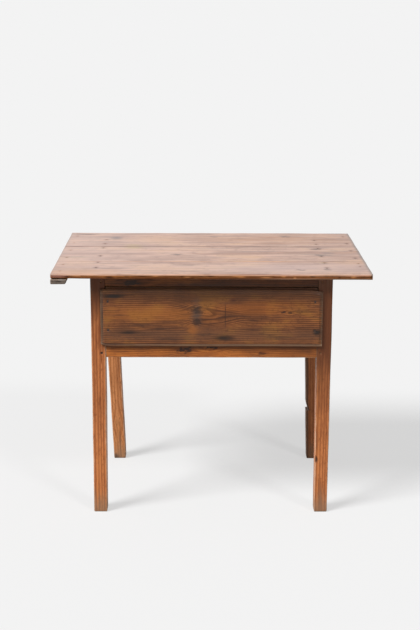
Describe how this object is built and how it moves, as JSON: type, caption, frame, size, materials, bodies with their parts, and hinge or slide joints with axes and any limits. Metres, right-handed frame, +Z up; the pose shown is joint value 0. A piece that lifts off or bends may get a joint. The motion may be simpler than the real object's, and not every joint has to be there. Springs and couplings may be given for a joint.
{
  "type": "tavern table",
  "caption": "Old pine tavern table with an overhanging board top nailed to battens, a pegged mortise-and-tenon frame on straight legs and a deep drawer with a lipped front.",
  "frame": {"origin": "on the floor under the middle of the top", "axes": "+X to the right along the long side, +Y to the back, +Z up; the drawer opens towards -Y"},
  "size_m": [0.965, 0.693, 0.775],
  "materials": {
    "worn_pine_top": "scrubbed and worn old pine, pale and slightly glossy from use",
    "old_pine": "aged orange-brown pine with an old thin wax finish",
    "dark_pine_drawer_front": "darkened pine with an old brown finish, worn at the edges",
    "raw_pine": "unfinished pine, oxidised brown",
    "pine_peg": "split wooden pegs, darkened end grain",
    "wrought_iron": "hand-wrought iron nails, blackened"
  },
  "bodies": {
    "frame": {"top_board_front": "worn_pine_top", "top_board_middle": "worn_pine_top", "top_board_rear": "worn_pine_top", "batten_left": "old_pine", "batten_right": "old_pine", "leg_front_left": "old_pine", "leg_front_right": "old_pine", "leg_rear_left": "old_pine", "leg_rear_right": "old_pine", "upper_rail": "old_pine", "lower_rail": "old_pine", "side_apron_left": "old_pine", "side_apron_right": "old_pine", "rear_apron": "old_pine", "drawer_runner_left": "raw_pine", "drawer_runner_right": "raw_pine", "drawer_guide_left": "raw_pine", "drawer_guide_right": "raw_pine", "drawer_kicker_left": "raw_pine", "drawer_kicker_right": "raw_pine", "rail_pegs": "pine_peg", "side_apron_pegs": "pine_peg", "rear_apron_pegs": "pine_peg", "top_nails": "wrought_iron", "batten_nails": "wrought_iron", "runner_nails": "wrought_iron", "guide_nails": "wrought_iron", "kicker_nails": "wrought_iron"},
    "drawer": {"drawer_front": "dark_pine_drawer_front", "drawer_side_left": "raw_pine", "drawer_side_right": "raw_pine", "drawer_back": "raw_pine", "drawer_bottom_front": "raw_pine", "drawer_bottom_rear": "raw_pine", "drawer_front_nails": "wrought_iron", "drawer_back_nails": "wrought_iron", "drawer_bottom_nails": "wrought_iron"}
  },
  "joints": [
    {"name": "drawer_slide", "type": "slide", "parent": "frame", "child": "drawer", "axis": [0, -1, 0], "range_m": [0, 0.36]}
  ]
}
